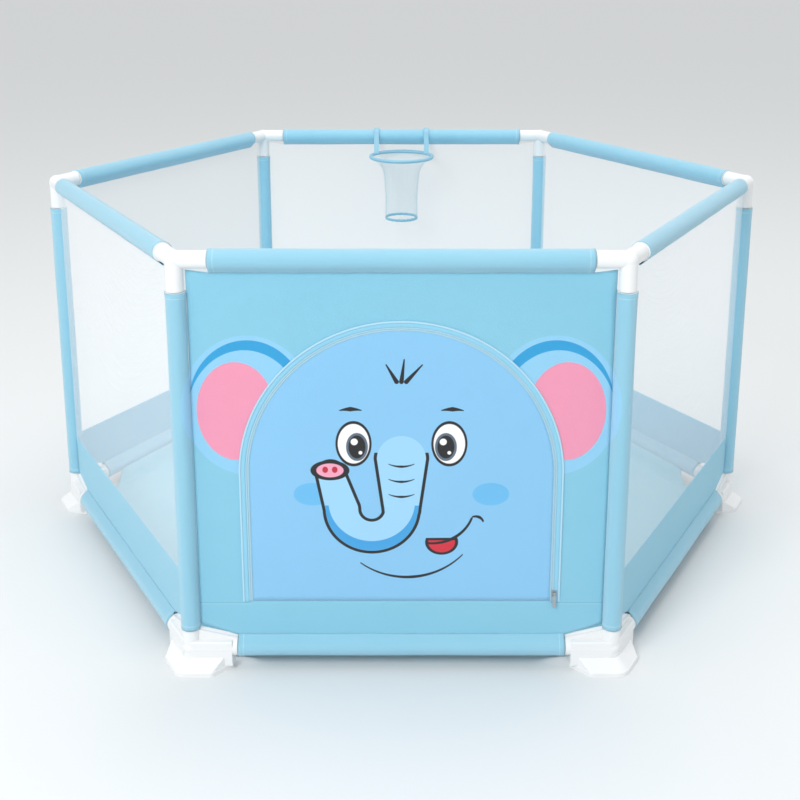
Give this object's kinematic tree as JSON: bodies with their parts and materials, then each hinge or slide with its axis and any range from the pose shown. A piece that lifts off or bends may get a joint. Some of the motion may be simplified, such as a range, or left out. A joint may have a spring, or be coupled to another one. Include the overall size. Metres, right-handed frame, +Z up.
{
  "type": "playpen",
  "caption": "Hexagonal fabric playpen on a push-fit tube frame, with mesh sides, a solid front with an arched zip door, and a small ball hoop.",
  "frame": {"origin": "on the floor at the centre of the hexagon of posts", "axes": "+Z up; the side with the zip door faces -Y; +X runs from the left post to the right post, the longest way across"},
  "size_m": [1.3494, 1.1746, 0.6632],
  "materials": {
    "steel_tube": "satin",
    "white_plastic": "satin",
    "blue_sleeve": "satin",
    "front_cloth": "satin",
    "door_cloth": "satin",
    "white_mesh": "matte",
    "skirt_cloth": "satin",
    "mat_cloth": "matte",
    "zip_teeth": "satin",
    "zip_metal": "satin",
    "hoop_plastic": "satin",
    "net_cloth": "matte",
    "foam": "matte"
  },
  "bodies": {
    "frame": {"bottom_corner_back_left": "white_plastic", "bottom_corner_back_right": "white_plastic", "bottom_corner_front_left": "white_plastic", "bottom_corner_front_right": "white_plastic", "bottom_corner_left": "white_plastic", "bottom_corner_right": "white_plastic", "bottom_rail_back": "steel_tube", "bottom_rail_back_left": "steel_tube", "bottom_rail_back_right": "steel_tube", "bottom_rail_front": "steel_tube", "bottom_rail_front_left": "steel_tube", "bottom_rail_front_right": "steel_tube", "floor_mat": "mat_cloth", "front_panel": "front_cloth", "mesh_panel_back": "white_mesh", "mesh_panel_back_left": "white_mesh", "mesh_panel_back_right": "white_mesh", "mesh_panel_front_left": "white_mesh", "mesh_panel_front_right": "white_mesh", "post_sleeve_back_left": "blue_sleeve", "post_sleeve_back_right": "blue_sleeve", "post_sleeve_front_left": "blue_sleeve", "post_sleeve_front_right": "blue_sleeve", "post_sleeve_left": "blue_sleeve", "post_sleeve_right": "blue_sleeve", "post_tube_back_left": "steel_tube", "post_tube_back_right": "steel_tube", "post_tube_front_left": "steel_tube", "post_tube_front_right": "steel_tube", "post_tube_left": "steel_tube", "post_tube_right": "steel_tube", "rail_sleeve_back": "blue_sleeve", "rail_sleeve_back_left": "blue_sleeve", "rail_sleeve_back_right": "blue_sleeve", "rail_sleeve_front_left": "blue_sleeve", "rail_sleeve_front_right": "blue_sleeve", "skirt_back": "skirt_cloth", "skirt_back_left": "skirt_cloth", "skirt_back_right": "skirt_cloth", "skirt_front_left": "skirt_cloth", "skirt_front_right": "skirt_cloth", "top_corner_back_left": "white_plastic", "top_corner_back_right": "white_plastic", "top_corner_front_left": "white_plastic", "top_corner_front_right": "white_plastic", "top_corner_left": "white_plastic", "top_corner_right": "white_plastic", "top_rail_back": "steel_tube", "top_rail_back_left": "steel_tube", "top_rail_back_right": "steel_tube", "top_rail_front": "steel_tube", "top_rail_front_left": "steel_tube", "top_rail_front_right": "steel_tube", "tube_foam": "foam", "zip_tape": "zip_teeth"},
    "door": {"door_flap": "door_cloth"},
    "slider": {"zip_slider": "zip_metal"},
    "pull": {"zip_pull": "zip_metal"},
    "hoop": {"hoop": "hoop_plastic", "hoop_net": "net_cloth"}
  },
  "joints": [
    {"name": "door_fold", "type": "hinge", "parent": "frame", "child": "door", "pos_m": [0, -0.55586, 0.1097], "axis": [1, 0, 0], "range_deg": [0, 103]},
    {"name": "zip_slide", "type": "slide", "parent": "frame", "child": "slider", "axis": [0, 0, 1], "range_m": [0, 0.185]},
    {"name": "pull_swing", "type": "hinge", "parent": "slider", "child": "pull", "pos_m": [0.2305, -0.55906, 0.125], "axis": [-1, 0, 0], "range_deg": [0, 150]},
    {"name": "hoop_slide", "type": "slide", "parent": "frame", "child": "hoop", "axis": [1, 0, 0], "range_m": [-0.2, 0.2]}
  ]
}
